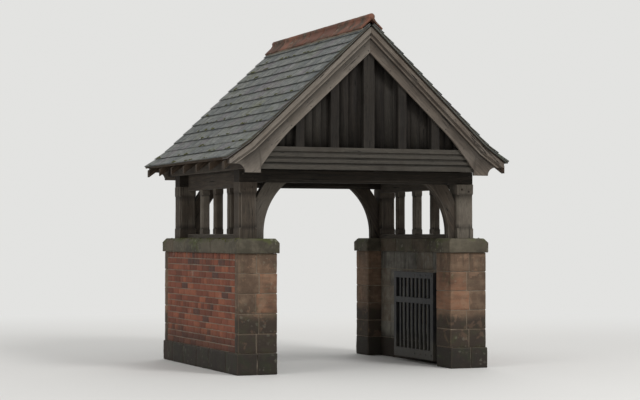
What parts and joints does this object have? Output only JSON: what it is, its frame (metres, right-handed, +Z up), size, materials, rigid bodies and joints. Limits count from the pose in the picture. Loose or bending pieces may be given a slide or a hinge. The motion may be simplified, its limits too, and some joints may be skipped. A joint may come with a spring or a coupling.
{
  "type": "lychgate",
  "caption": "Roofed churchyard gateway: stone piers and low brick side walls, oak posts with arch braces, slated gabled roof, and gates that fold back against the walls.",
  "frame": {"origin": "middle of the passage at ground level", "axes": "+X across the passage to the right seen from the front, +Y through the passage from front to rear, +Z up"},
  "size_m": [3.53, 3.12, 4.0685],
  "materials": {
    "plinth_stone": "rough, sooty",
    "sandstone": "weathered ashlar",
    "brick": "weathered brickwork",
    "coping_stone": "mossy stone",
    "oak": "weathered dark oak",
    "roof_timber": "dry sawn timber",
    "gable_timber": "dark stained boards",
    "barge_timber": "weathered boards",
    "slate": "riven slate with moss",
    "ridge_clay": "weathered clay",
    "gate_timber": "dark stained timber",
    "iron": "black painted iron"
  },
  "bodies": {
    "root": {"left_plinth": "plinth_stone", "right_plinth": "plinth_stone", "left_front_pier": "sandstone", "left_rear_pier": "sandstone", "right_front_pier": "sandstone", "right_rear_pier": "sandstone", "left_side_wall": "brick", "right_side_wall": "brick", "left_coping": "coping_stone", "right_coping": "coping_stone", "left_front_post": "oak", "left_rear_post": "oak", "right_front_post": "oak", "right_rear_post": "oak", "left_sill": "oak", "right_sill": "oak", "left_mullions": "oak", "right_mullions": "oak", "left_head_rail": "oak", "right_head_rail": "oak", "front_tie_beam": "oak", "rear_tie_beam": "oak", "left_wall_plate": "oak", "right_wall_plate": "oak", "left_front_brace": "oak", "left_rear_brace": "oak", "right_front_brace": "oak", "right_rear_brace": "oak", "front_gable_beam": "oak", "rear_gable_beam": "oak", "left_rafters": "roof_timber", "right_rafters": "roof_timber", "collars": "roof_timber", "ridge_board": "roof_timber", "front_gable_frame": "gable_timber", "rear_gable_frame": "gable_timber", "front_gable_boards": "gable_timber", "rear_gable_boards": "gable_timber", "front_bargeboards": "barge_timber", "rear_bargeboards": "barge_timber", "left_roof_slope": "slate", "right_roof_slope": "slate", "ridge_tiles": "ridge_clay", "gate_hooks": "iron"},
    "left_gate": {"left_gate_leaf": "gate_timber", "left_gate_ironwork": "iron"},
    "right_gate": {"right_gate_leaf": "gate_timber", "right_gate_ironwork": "iron"}
  },
  "joints": [
    {"name": "left_gate_swing", "type": "hinge", "parent": "root", "child": "left_gate", "pos_m": [-1.135, -0.927, 0.6], "axis": [0, 0, -1], "range_deg": [0, 90]},
    {"name": "right_gate_swing", "type": "hinge", "parent": "root", "child": "right_gate", "pos_m": [1.135, -0.927, 0.6], "axis": [0, 0, 1], "range_deg": [0, 90]}
  ]
}
